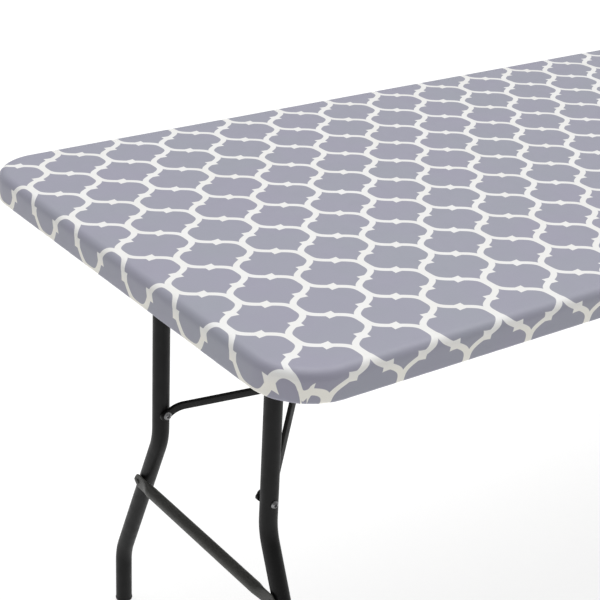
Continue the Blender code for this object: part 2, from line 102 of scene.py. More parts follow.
class NodeBench:
    """A material with a Principled shader and short ways to add nodes to it."""

    def __init__(self, name: str) -> None:
        """Start a material.

        Args:
            name: the material's name.
        """
        self.material = bpy.data.materials.new(name)
        self.material.use_nodes = True
        self.tree = self.material.node_tree
        self.shader = self.tree.nodes["Principled BSDF"]

    def add(self, kind: str, **settings: object) -> bpy.types.Node:
        """Add a node.

        Args:
            kind: the node's type name.
            settings: properties to set on it.

        Returns:
            The new node.
        """
        node = self.tree.nodes.new(kind)
        for key, value in settings.items():
            setattr(node, key, value)
        return node

    def feed(self, value: object, socket: bpy.types.NodeSocket) -> None:
        """Link a socket, or set its value.

        Args:
            value: an output socket, or a number or colour.
            socket: the input to fill.
        """
        if isinstance(value, bpy.types.NodeSocket):
            self.tree.links.new(value, socket)
        elif isinstance(value, tuple) and len(value) == 3 and socket.type == "RGBA":
            socket.default_value = (*value, 1.0)
        else:
            socket.default_value = value

    def calc(self, operation: str, *values: object) -> bpy.types.NodeSocket:
        """Add a Math node.

        Args:
            operation: the Math node's operation.
            values: its inputs in order.

        Returns:
            The result's socket.
        """
        node = self.add("ShaderNodeMath", operation=operation)
        for socket, value in zip(node.inputs, values):
            self.feed(value, socket)
        return node.outputs[0]

    def place(self) -> bpy.types.NodeSocket:
        """Return the object coordinates, which are the table's own metres."""
        return self.add("ShaderNodeTexCoord").outputs["Object"]

    def chart(self, name: str) -> bpy.types.NodeSocket:
        """Return the coordinates of the UV map of this name."""
        return self.add("ShaderNodeUVMap", uv_map=name).outputs["UV"]

    def stretched(self, vector: bpy.types.NodeSocket, scale: tuple) -> bpy.types.NodeSocket:
        """Scale coordinates by a different amount on each axis.

        Args:
            vector: the coordinates.
            scale: the three factors.

        Returns:
            The scaled coordinates.
        """
        node = self.add("ShaderNodeMapping")
        self.feed(vector, node.inputs["Vector"])
        node.inputs["Scale"].default_value = scale
        return node.outputs[0]

    def grain(self, vector: bpy.types.NodeSocket, scale: float, detail: float = 2.0,
              roughness: float = 0.5) -> bpy.types.NodeSocket:
        """Add a noise texture.

        Args:
            vector: coordinates in metres.
            scale: features per metre.
            detail: octaves.
            roughness: strength of the finer octaves.

        Returns:
            A value near 0.5.
        """
        node = self.add("ShaderNodeTexNoise")
        self.feed(vector, node.inputs["Vector"])
        node.inputs["Scale"].default_value = scale
        node.inputs["Detail"].default_value = detail
        node.inputs["Roughness"].default_value = roughness
        return node.outputs["Fac"]

    def pebbles(self, vector: bpy.types.NodeSocket, scale: float) -> bpy.types.NodeSocket:
        """Add a smooth cell texture, for moulded and embossed skins.

        Args:
            vector: coordinates in metres.
            scale: cells per metre.

        Returns:
            The distance to the nearest cell's centre.
        """
        node = self.add("ShaderNodeTexVoronoi", feature="SMOOTH_F1")
        self.feed(vector, node.inputs["Vector"])
        node.inputs["Scale"].default_value = scale
        return node.outputs["Distance"]

    def ramp(self, value: bpy.types.NodeSocket, low: float, high: float, to_low: float = 0.0,
             to_high: float = 1.0, smooth: bool = False) -> bpy.types.NodeSocket:
        """Map a range of values to another, clamped.

        Args:
            value: the value to map.
            low: the range's start.
            high: the range's end.
            to_low: the result at low.
            to_high: the result at high.
            smooth: ease in and out.

        Returns:
            The mapped value.
        """
        node = self.add("ShaderNodeMapRange")
        node.interpolation_type = "SMOOTHSTEP" if smooth else "LINEAR"
        for socket, number in zip(node.inputs, (value, low, high, to_low, to_high)):
            self.feed(number, socket)
        return node.outputs[0]

    def spread(self, grain: bpy.types.NodeSocket, low: float = 0.0,
               high: float = 1.0) -> bpy.types.NodeSocket:
        """Stretch the range that a noise mostly keeps to over a span of values.

        Args:
            grain: the noise.
            low: the result where the noise is low.
            high: the result where it is high.

        Returns:
            The stretched value.
        """
        return self.ramp(grain, *NOISE_RANGE, low, high)

    def blend(self, share: object, first: object, second: object) -> bpy.types.NodeSocket:
        """Mix two colours.

        Args:
            share: how much of the second, from 0 to 1.
            first: a colour or socket.
            second: a colour or socket.

        Returns:
            The mixed colour.
        """
        node = self.add("ShaderNodeMix", data_type="RGBA")
        self.feed(share, node.inputs[0])
        self.feed(first, node.inputs[6])
        self.feed(second, node.inputs[7])
        return node.outputs[2]

    def relief(self, height: bpy.types.NodeSocket, depth: float, strength: float = 1.0,
               under: bpy.types.NodeSocket | None = None) -> bpy.types.NodeSocket:
        """Turn a height into a bump.

        Args:
            height: a value, usually from 0 to 1.
            depth: metres for a height of 1.
            strength: how much of the bump shows.
            under: a coarser bump to lay this one on.

        Returns:
            The bumped normal.
        """
        node = self.add("ShaderNodeBump")
        node.inputs["Distance"].default_value = depth
        node.inputs["Strength"].default_value = strength
        self.feed(height, node.inputs["Height"])
        if under is not None:
            self.feed(under, node.inputs["Normal"])
        return node.outputs[0]

    def finish(self, colour: object, roughness: object, normal: object = None,
               **sockets: object) -> bpy.types.Material:
        """Wire the shader.

        Args:
            colour: the base colour.
            roughness: the roughness.
            normal: the bumped normal, if any.
            sockets: other shader inputs, with underscores for spaces.

        Returns:
            The finished material.
        """
        self.feed(colour, self.shader.inputs["Base Color"])
        self.feed(roughness, self.shader.inputs["Roughness"])
        if normal is not None:
            self.feed(normal, self.shader.inputs["Normal"])
        for key, value in sockets.items():
            self.feed(value, self.shader.inputs[key.replace("_", " ")])
        return self.material


# --- finishes ------------------------------------------------------------------------------
CUT_MAP = "cloth_cut"


@dataclass(frozen=True)
class TrellisPrint:
    """Printed vinyl: a grey ground under a white quatrefoil trellis with barbed crossings."""

    name: str = "printed_vinyl"
    repeat: tuple[float, float] = (0.0982, 0.1215)
    start: tuple[float, float] = (-0.7786, -0.1463)
    swing: float = 0.0232
    squareness: float = 0.12
    half_line: float = 0.0041
    barb: tuple[float, float] = (0.0068, -0.0079)
    heel: tuple[float, float] = (0.0083, 0.0071)
    hollow: float = 0.0006
    softness: float = 0.00035
    ground: Colour = (0.340, 0.334, 0.412)
    ground_cool: Colour = (0.334, 0.342, 0.402)
    line: Colour = (0.86, 0.86, 0.855)
    line_warm: Colour = (0.80, 0.78, 0.72)
    # Painted light: the skirt's lines get this brighter, warmer colour to offset the shade on the skirt.
    # It fades in between the two heights below the top.
    line_edge: Colour = (0.90, 0.88, 0.81)
    edge_height: tuple[float, float] = (0.715, 0.733)
    rough: tuple[float, float] = (0.42, 0.52)

    def wave(self, bench: NodeBench, along: bpy.types.NodeSocket) -> tuple:
        """The trellis line's sideways place and slope.

        Args:
            bench: the material being built.
            along: distance from the crossing, down the print.

        Returns:
            The offset and its slope.
        """
        turn = 2 * math.pi / self.repeat[1]
        once = bench.calc("MULTIPLY", along, turn)
        thrice = bench.calc("MULTIPLY", along, 3 * turn)
        main = self.swing * (1 + self.squareness)
        extra = self.swing * self.squareness
        offset = bench.calc("MULTIPLY_ADD", bench.calc("SINE", once), main,
                            bench.calc("MULTIPLY", bench.calc("SINE", thrice), extra))
        slope = bench.calc("MULTIPLY_ADD", bench.calc("COSINE", once), main * turn,
                           bench.calc("MULTIPLY", bench.calc("COSINE", thrice), 3 * extra * turn))
        return offset, slope

    def barbs(self, bench: NodeBench, across: bpy.types.NodeSocket,
              along: bpy.types.NodeSocket) -> bpy.types.NodeSocket:
        """Depth inside the four-pointed figure at a crossing.

        Args:
            bench: the material being built.
            across: distance from the crossing, across the print.
            along: distance from the crossing, down the print.

        Returns:
            Metres inside the figure, negative outside.
        """
        depth = None
        for first, second in ((self.barb, self.heel), (self.heel, (-self.barb[0], -self.barb[1]))):
            edge = Vector(second) - Vector(first)
            length = edge.length
            out = Vector((edge.y, -edge.x)) / length
            if out.dot(Vector(first)) < 0:
                out = -out
            share = bench.calc("DIVIDE", bench.calc(
                "MULTIPLY_ADD", across, edge.x / length, bench.calc(
                    "MULTIPLY", along, edge.y / length)), length)
            middle = (Vector(first) + edge / 2).dot(edge) / length ** 2
            reach = bench.calc("MULTIPLY_ADD", across, out.x, bench.calc("MULTIPLY", along, out.y))
            outside = bench.calc("ABSOLUTE", reach)
            signed = bench.calc("MULTIPLY", share, bench.calc("SIGN", reach))
            centred = bench.calc("SUBTRACT", signed, middle)
            dip = bench.calc("MULTIPLY_ADD", bench.calc("MULTIPLY", centred, centred),
                             4 * self.hollow, out.dot(Vector(first)) - self.hollow)
            inside = bench.calc("SUBTRACT", dip, outside)
            depth = inside if depth is None else bench.calc("MINIMUM", depth, inside)
        return depth

    def lines(self, bench: NodeBench, chart: bpy.types.NodeSocket) -> bpy.types.NodeSocket:
        """How white the print is at each point.

        Args:
            bench: the material being built.
            chart: the cloth's flat coordinates in metres.

        Returns:
            0 on the ground and 1 on a line.
        """
        split = bench.add("ShaderNodeSeparateXYZ")
        bench.feed(chart, split.inputs[0])
        folded = []
        steps = []
        for socket, start, repeat, sign in ((split.outputs[0], self.start[0], self.repeat[0], 1),
                                            (split.outputs[1], self.start[1], self.repeat[1], -1)):
            halves = bench.calc("MULTIPLY_ADD", socket, sign * 2 / repeat,
                                -sign * 2 * start / repeat)
            step = bench.calc("ROUND", halves)
            steps.append(step)
            folded.append(bench.calc("MULTIPLY", bench.calc("SUBTRACT", halves, step), repeat / 2))
        flip = bench.calc("COSINE", bench.calc(
            "MULTIPLY", bench.calc("ADD", steps[0], steps[1]), math.pi))
        across = bench.calc("MULTIPLY", folded[0], flip)
        offset, slope = self.wave(bench, folded[1])
        lean = bench.calc("SQRT", bench.calc("MULTIPLY_ADD", slope, slope, 1.0))
        away = bench.calc("DIVIDE", bench.calc(
            "ABSOLUTE", bench.calc("SUBTRACT", across, offset)), lean)
        line = bench.calc("SUBTRACT", self.half_line, away)
        ink = bench.calc("MAXIMUM", line, self.barbs(bench, across, folded[1]))
        return bench.ramp(ink, -self.softness, self.softness, smooth=True)

    def build(self) -> bpy.types.Material:
        """Return the finished material."""
        bench = NodeBench(self.name)
        chart = bench.chart(CUT_MAP)
        place = bench.place()
        white = self.lines(bench, chart)
        drift = bench.ramp(bench.grain(place, scale=9.0, detail=3.0), 0.35, 0.65)
        ground = bench.blend(drift, self.ground, self.ground_cool)
        fleck = bench.spread(bench.grain(chart, scale=1400.0, detail=2.0), 0.975, 1.02)
        tint = bench.blend(bench.spread(bench.grain(place, scale=14.0, detail=2.0), 0.0, 0.35),
                           self.line, self.line_warm)
        split = bench.add("ShaderNodeSeparateXYZ")
        bench.feed(place, split.inputs[0])
        # Painted light: below the top's edge the lines are drawn brighter and warmer than on the top, to
        # offset the skirt's shade.
        edge = bench.ramp(split.outputs[2], *self.edge_height, 1.0, 0.0)
        colour = bench.blend(white, ground, bench.blend(edge, tint, self.line_edge))
        toned = bench.add("ShaderNodeHueSaturation")
        bench.feed(fleck, toned.inputs["Value"])
        bench.feed(colour, toned.inputs["Color"])
        rough = bench.spread(bench.grain(place, scale=60.0, detail=4.0), *self.rough)
        waves = bench.grain(bench.stretched(place, (1.0, 1.4, 1.0)), scale=5.0, detail=2.0)
        slack = bench.relief(waves, depth=0.004, strength=0.12)
        pores = bench.pebbles(chart, scale=900.0)
        emboss = bench.relief(pores, depth=0.00012, strength=0.45, under=slack)
        film = bench.relief(white, depth=0.00006, strength=0.5, under=emboss)
        return bench.finish(toned.outputs[0], rough, film, Specular_IOR_Level=0.32,
                            Sheen_Weight=0.06, Sheen_Roughness=0.5)


@dataclass(frozen=True)
class Flannel:
    """Napped white flannel under the vinyl."""

    name: str = "flannel_backing"
    colour: Colour = (0.80, 0.79, 0.76)
    # Painted shade: a darker colour standing for the shade among the nap's tufts.
    hollows: Colour = (0.70, 0.69, 0.66)
    rough: tuple[float, float] = (0.88, 1.0)

    def build(self) -> bpy.types.Material:
        """Return the finished material."""
        bench = NodeBench(self.name)
        place = bench.place()
        nap = bench.grain(place, scale=900.0, detail=4.0, roughness=0.7)
        tuft_shade_mask = bench.grain(place, scale=180.0, detail=3.0)
        # Painted shade: random patches take the darker colour, in place of the shade among the tufts.
        shade = bench.blend(bench.spread(tuft_shade_mask), self.colour, self.hollows)
        rough = bench.spread(nap, *self.rough)
        fuzz = bench.relief(nap, depth=0.0006, strength=0.6)
        return bench.finish(shade, rough, fuzz, Sheen_Weight=0.5, Sheen_Roughness=0.6)


@dataclass(frozen=True)
class Yarn:
    """Twisted sewing thread or covered elastic."""

    name: str
    colour: Colour
    twist: float
    # Painted shade: the share of the colour left in the grooves between the plies.
    shade: float = 0.72
    rough: tuple[float, float] = (0.7, 0.9)

    def build(self) -> bpy.types.Material:
        """Return the finished material."""
        bench = NodeBench(self.name)
        place = bench.place()
        wave = bench.add("ShaderNodeTexWave", wave_type="BANDS", bands_direction="DIAGONAL")
        bench.feed(place, wave.inputs["Vector"])
        wave.inputs["Scale"].default_value = self.twist / 6
        wave.inputs["Distortion"].default_value = 1.5
        ply = wave.outputs["Fac"]
        # Painted shade: the grooves between the plies are drawn darker, following the twist bands that
        # also make the bump.
        painted_groove_shade = tuple(part * self.shade for part in self.colour)
        shade = bench.blend(bench.ramp(ply, 0.1, 0.9), painted_groove_shade, self.colour)
        rough = bench.spread(bench.grain(place, scale=700.0), *self.rough)
        plies = bench.relief(ply, depth=0.0003, strength=0.6)
        return bench.finish(shade, rough, plies, Sheen_Weight=0.3)


@dataclass(frozen=True)
class MouldedResin:
    """Blow-moulded polyethylene with a pebbled skin."""

    name: str = "moulded_resin"
    colour: Colour = (0.62, 0.62, 0.60)
    cloudy: Colour = (0.55, 0.55, 0.535)
    specks: Colour = (0.36, 0.36, 0.35)
    rough: tuple[float, float] = (0.48, 0.66)

    def build(self) -> bpy.types.Material:
        """Return the finished material."""
        bench = NodeBench(self.name)
        place = bench.place()
        pebble = bench.pebbles(place, scale=260.0)
        cloud = bench.grain(place, scale=7.0, detail=4.0)
        speck = bench.ramp(bench.grain(place, scale=420.0, detail=2.0), 0.62, 0.72)
        base = bench.blend(bench.ramp(cloud, 0.35, 0.65), self.colour, self.cloudy)
        shade = bench.blend(bench.calc("MULTIPLY", speck, 0.5), base, self.specks)
        rough = bench.spread(bench.grain(place, scale=90.0, detail=3.0), *self.rough)
        coarse = bench.relief(cloud, depth=0.002, strength=0.15)
        skin = bench.relief(pebble, depth=0.0004, strength=0.6, under=coarse)
        return bench.finish(shade, rough, skin, Specular_IOR_Level=0.4)


@dataclass(frozen=True)
class PowderCoat:
    """Baked powder paint: orange peel, fine dust and a few rubbed streaks."""

    name: str
    colour: Colour
    rubbed: Colour
    dullness: float
    shine: float
    uneven: tuple[float, float] = (-0.05, 0.07)

    def build(self) -> bpy.types.Material:
        """Return the finished material."""
        bench = NodeBench(self.name)
        place = bench.place()
        peel = bench.grain(place, scale=520.0, detail=2.0, roughness=0.45)
        drawn = bench.stretched(place, (1.0, 1.0, 0.16))
        streaks = bench.grain(drawn, scale=260.0, detail=4.0, roughness=0.65)
        worn = bench.ramp(streaks, 0.60, 0.78, 0.0, 0.45)
        dust = bench.ramp(bench.grain(place, scale=24.0, detail=4.0), 0.35, 0.75, 0.0, 0.25)
        base = bench.blend(dust, self.colour, self.rubbed)
        shade = bench.blend(worn, base, self.rubbed)
        drift = bench.spread(bench.grain(place, scale=75.0, detail=3.0), *self.uneven)
        rough = bench.calc("ADD", drift, self.dullness)
        orange_peel = bench.relief(peel, depth=0.00025, strength=0.45)
        return bench.finish(shade, rough, orange_peel, Specular_IOR_Level=self.shine)


@dataclass(frozen=True)
class ZincPlate:
    """Bright zinc plate on turned fasteners."""

    name: str = "zinc_fastener"
    colour: Colour = (0.33, 0.33, 0.335)
    bloomed: Colour = (0.13, 0.13, 0.135)
    rough: tuple[float, float] = (0.30, 0.48)

    def build(self) -> bpy.types.Material:
        """Return the finished material."""
        bench = NodeBench(self.name)
        place = bench.place()
        bloom = bench.grain(place, scale=300.0, detail=4.0, roughness=0.6)
        shade = bench.blend(bench.ramp(bloom, 0.35, 0.7), self.colour, self.bloomed)
        rough = bench.spread(bloom, *self.rough)
        lathe = bench.grain(bench.stretched(place, (1.0, 0.2, 1.0)), scale=2400.0, detail=1.0)
        turning = bench.relief(lathe, depth=0.00008, strength=0.5)
        return bench.finish(shade, rough, turning, Metallic=1.0)


@dataclass(frozen=True)
class MouldedPlastic:
    """Black moulded plastic of plugs and bushes."""

    name: str = "black_plastic"
    colour: Colour = (0.022, 0.022, 0.023)
    scuffed: Colour = (0.06, 0.06, 0.058)
    rough: tuple[float, float] = (0.5, 0.68)

    def build(self) -> bpy.types.Material:
        """Return the finished material."""
        bench = NodeBench(self.name)
        place = bench.place()
        skin = bench.grain(place, scale=900.0, detail=3.0)
        patches = bench.grain(place, scale=130.0, detail=4.0, roughness=0.7)
        scuffs = bench.ramp(patches, 0.55, 0.8, 0.0, 0.5)
        shade = bench.blend(scuffs, self.colour, self.scuffed)
        rough = bench.spread(bench.grain(place, scale=200.0), *self.rough)
        return bench.finish(shade, rough, bench.relief(skin, depth=0.0001, strength=0.5))


@dataclass(frozen=True)
class PaleFloor:
    """Plain studio floor, softly lit from within and clear from below."""

    name: str = "pale_floor"
    colour: Colour = (0.30, 0.30, 0.30)
    glow: float = 0.80

    def build(self) -> bpy.types.Material:
        """Return the finished material."""
        bench = NodeBench(self.name)
        material = bench.finish(self.colour, 0.9, Specular_IOR_Level=0.0,
                                Emission_Color=(1.0, 1.0, 1.0), Emission_Strength=self.glow)
        surface = material.node_tree.get_output_node("CYCLES").inputs["Surface"]
        side = bench.add("ShaderNodeNewGeometry")
        clear = bench.add("ShaderNodeBsdfTransparent")
        mixed = bench.add("ShaderNodeMixShader")
        bench.feed(side.outputs["Backfacing"], mixed.inputs[0])
        bench.feed(surface.links[0].from_socket, mixed.inputs[1])
        bench.feed(clear.outputs[0], mixed.inputs[2])
        bench.feed(mixed.outputs[0], surface)
        return material


class Finishes:
    """Every material, built once."""

    def __init__(self) -> None:
        """Build the materials."""
        self.thread = Yarn("sewing_thread", (0.52, 0.52, 0.56), twist=2600.0).build()
        self.slots = {
            Slot.VINYL: TrellisPrint().build(),
            Slot.FLANNEL: Flannel().build(),
            Slot.ELASTIC: Yarn("elastic", (0.72, 0.71, 0.67), twist=1500.0).build(),
            Slot.RESIN: MouldedResin().build(),
            Slot.STEEL: PowderCoat("black_powder_coat", (0.0050, 0.0050, 0.0051),
                                   (0.016, 0.016, 0.016), dullness=0.44, shine=0.20).build(),
            Slot.DARK_STEEL: PowderCoat("grey_powder_coat", (0.074, 0.074, 0.069),
                                        (0.085, 0.085, 0.078), dullness=0.46,
                                        shine=0.24).build(),
            Slot.ZINC: ZincPlate().build(),
            Slot.PLASTIC: MouldedPlastic().build(),
        }

    def of(self, slot: Slot) -> bpy.types.Material:
        """Return the material of a record slot."""
        return self.slots[slot]


# --- modelling helpers ---------------------------------------------------------------------
MERGE = 1e-6
SEAM_MERGE = 2e-5
UP = Vector((0.0, 0.0, 1.0))
ALONG_X = Vector((1.0, 0.0, 0.0))
ALONG_Y = Vector((0.0, 1.0, 0.0))
QUADRANTS = ((1, 1), (-1, 1), (-1, -1), (1, -1))


def quarter(steps: int) -> list[float]:
    """Return the angles of a quarter turn in even steps, both ends included."""
    return [math.pi / 2 * step / steps for step in range(steps + 1)]


def eased(share: float) -> float:
    """Return a share held between 0 and 1 and eased at both ends."""
    held = max(0.0, min(1.0, share))
    return held * held * (3 - 2 * held)


class Workshop:
    """Ways to make shapes out of bmesh operators."""

    @staticmethod
    def frames(points: Sequence[Vector], side: Vector) -> list[Matrix]:
        """Stand a frame at each point of a path, with Z along it.

        Args:
            points: the path.
            side: a direction that X is kept as near as it can be to.

        Returns:
            One matrix for each point.
        """
        found = []
        for index, point in enumerate(points):
            after = points[min(index + 1, len(points) - 1)]
            before = points[max(index - 1, 0)]
            along = (after - before).normalized()
            across = (side - along * side.dot(along)).normalized()
            turn = Matrix((across, along.cross(across), along)).transposed().to_4x4()
            found.append(Matrix.Translation(point) @ turn)
        return found

    @staticmethod
    def rounded_path(corners: Sequence[Vector], handle: float, steps: int) -> list[Vector]:
        """Round the inner corners of a path with arcs.

        Args:
            corners: the path's corners.
            handle: the straight used up on each side of a corner.
            steps: pieces in each arc.

        Returns:
            The rounded path's points.
        """
        points = [corners[0]]
        for before, corner, after in zip(corners, corners[1:], corners[2:]):
            back = (before - corner).normalized()
            on = (after - corner).normalized()
            half = back.angle(on) / 2
            radius = handle * math.tan(half)
            centre = corner + (back + on).normalized() * (handle / math.cos(half))
            start = corner + back * handle - centre
            axis = back.cross(on).normalized()
            sweep = -(math.pi - 2 * half)
            for step in range(steps + 1):
                spoke = Matrix.Rotation(sweep * step / steps, 3, axis) @ start
                points.append(centre + spoke.normalized() * radius)
        points.append(corners[-1])
        return points

    @staticmethod
    def sweep(bm: bmesh.types.BMesh, ring: list, frames: Sequence[Matrix],
              scales: Sequence[tuple[float, float]] | None = None) -> None:
        """Carry a closed loop of vertices through frames and cap both ends.

        Args:
            bm: the bmesh that holds the loop.
            ring: the loop's vertices, in the plane Z = 0 round the origin.
            frames: the frames to pass through.
            scales: the section's X and Y scale at each frame.
        """
        scales = scales or [(1.0, 1.0)] * len(frames)
        sized = [m @ Matrix.Diagonal((sx, sy, 1.0, 1.0)) for m, (sx, sy) in zip(frames, scales)]
        bmesh.ops.transform(bm, matrix=sized[0], verts=ring)
        edges = list({e for v in ring for e in v.link_edges if e.other_vert(v) in set(ring)})
        first = list(edges)
        for before, after in zip(sized, sized[1:]):
            made = bmesh.ops.extrude_edge_only(bm, edges=edges)["geom"]
            ring = [g for g in made if isinstance(g, bmesh.types.BMVert)]
            edges = [g for g in made if isinstance(g, bmesh.types.BMEdge)
                     and g.verts[0] in ring and g.verts[1] in ring]
            bmesh.ops.transform(bm, matrix=after @ before.inverted(), verts=ring)
        bmesh.ops.contextual_create(bm, geom=first)
        bmesh.ops.contextual_create(bm, geom=edges)

    @classmethod
    def tube(cls, bm: bmesh.types.BMesh, points: Sequence[Vector], radius: float, sides: int,
             scales: Sequence[tuple[float, float]] | None = None) -> None:
        """Sweep a round section along a path that stays square to X.

        Args:
            bm: the bmesh to add to.
            points: the path.
            radius: the section's radius.
            sides: sides of the section.
            scales: the section's X and Y scale at each point.
        """
        ring = bmesh.ops.create_circle(bm, segments=sides, radius=radius)["verts"]
        cls.sweep(bm, ring, cls.frames(points, ALONG_X), scales)

    @classmethod
    def bar(cls, bm: bmesh.types.BMesh, points: Sequence[Vector], thin: Vector,
            half: tuple[float, float], round_off: float,
            scales: Sequence[tuple[float, float]]) -> None:
        """Sweep a flat bar with rounded edges along a path.

        Args:
            bm: the bmesh to add to.
            points: the path.
            thin: the direction of the bar's thickness at the start.
            half: half its thickness and half its height.
            round_off: radius of its edges.
            scales: the section's X and Y scale at each point.
        """
        thick, high = half[0] - round_off, half[1] - round_off
        ring = []
        for number, (sx, sy) in enumerate(QUADRANTS):
            for part in quarter(3):
                angle = math.pi / 2 * number + part
                ring.append(bm.verts.new((sx * thick + round_off * math.cos(angle),
                                          sy * high + round_off * math.sin(angle), 0.0)))
        for one, two in zip(ring, ring[1:] + ring[:1]):
            bm.edges.new((one, two))
        cls.sweep(bm, ring, cls.frames(points, thin), scales)

    @staticmethod
    def turned(bm: bmesh.types.BMesh, profile: Profile, centre: Vector, axis: Vector,
               steps: int = 28) -> None:
        """Turn a (radius, height) outline about an axis.

        Args:
            bm: the bmesh to add to.
            profile: the outline.
            centre: where height 0 stands.
            axis: the direction of height.
            steps: sides of the turned shape.
        """
        place = Matrix.Translation(centre) @ axis.to_track_quat("Z", "Y").to_matrix().to_4x4()
        verts = [bm.verts.new(place @ Vector((radius, 0.0, height))) for radius, height in profile]
        edges = [bm.edges.new(pair) for pair in zip(verts, verts[1:])]
        bmesh.ops.spin(bm, geom=verts + edges, cent=centre, axis=axis, angle=2 * math.pi,
                       steps=steps, use_merge=True, use_duplicate=False)


@dataclass
class Assembly:
    """A group of pieces that ride on one body and take their finishes from the record."""

    finishes: Finishes

    @property
    def body(self) -> str:
        """The body its pieces move with."""
        return "table_top"

    def add(self, name: str, bm: bmesh.types.BMesh, slot: Slot, replaces: Sequence[str] = (),
            sharp: float = 40.0, materials: Sequence[bpy.types.Material] = (),
            recalculate: bool = True) -> bpy.types.Object:
        """Turn a bmesh into a piece.

        Args:
            name: the piece's name.
            bm: the shape in the table's frame; it is freed.
            slot: the record's slot it takes its finish from.
            replaces: the CAD nodes it stands for.
            sharp: the angle in degrees past which an edge stays crisp.
            materials: its materials, when they are not just the slot's own.
            recalculate: turn the faces outwards.

        Returns:
            The new object.
        """
        bmesh.ops.remove_doubles(bm, verts=bm.verts, dist=MERGE)
        if recalculate:
            bmesh.ops.recalc_face_normals(bm, faces=bm.faces)
        mesh = bpy.data.meshes.new(name)
        bm.to_mesh(mesh)
        bm.free()
        for material in materials or [self.finishes.of(slot)]:
            mesh.materials.append(material)
        mesh.shade_smooth()
        mesh.set_sharp_from_angle(angle=math.radians(sharp))
        obj = bpy.data.objects.new(name, mesh)
        bpy.context.scene.collection.objects.link(obj)
        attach(obj, self.body)
        if replaces:
            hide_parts(*replaces)
        log.info("%s: %d faces, on %s", name, len(mesh.polygons), self.body)
        return obj

    def dress(self, node: str, slot: Slot) -> None:
        """Give a CAD node that keeps its own shape a finish.

        Args:
            node: the node's name.
            slot: the finish's slot.
        """
        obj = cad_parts[node]
        material = self.finishes.of(slot)
        if not obj.material_slots:
            obj.data.materials.append(material)
        for held in obj.material_slots:
            held.material = material
        log.info("%s: dressed in %s", node, material.name)


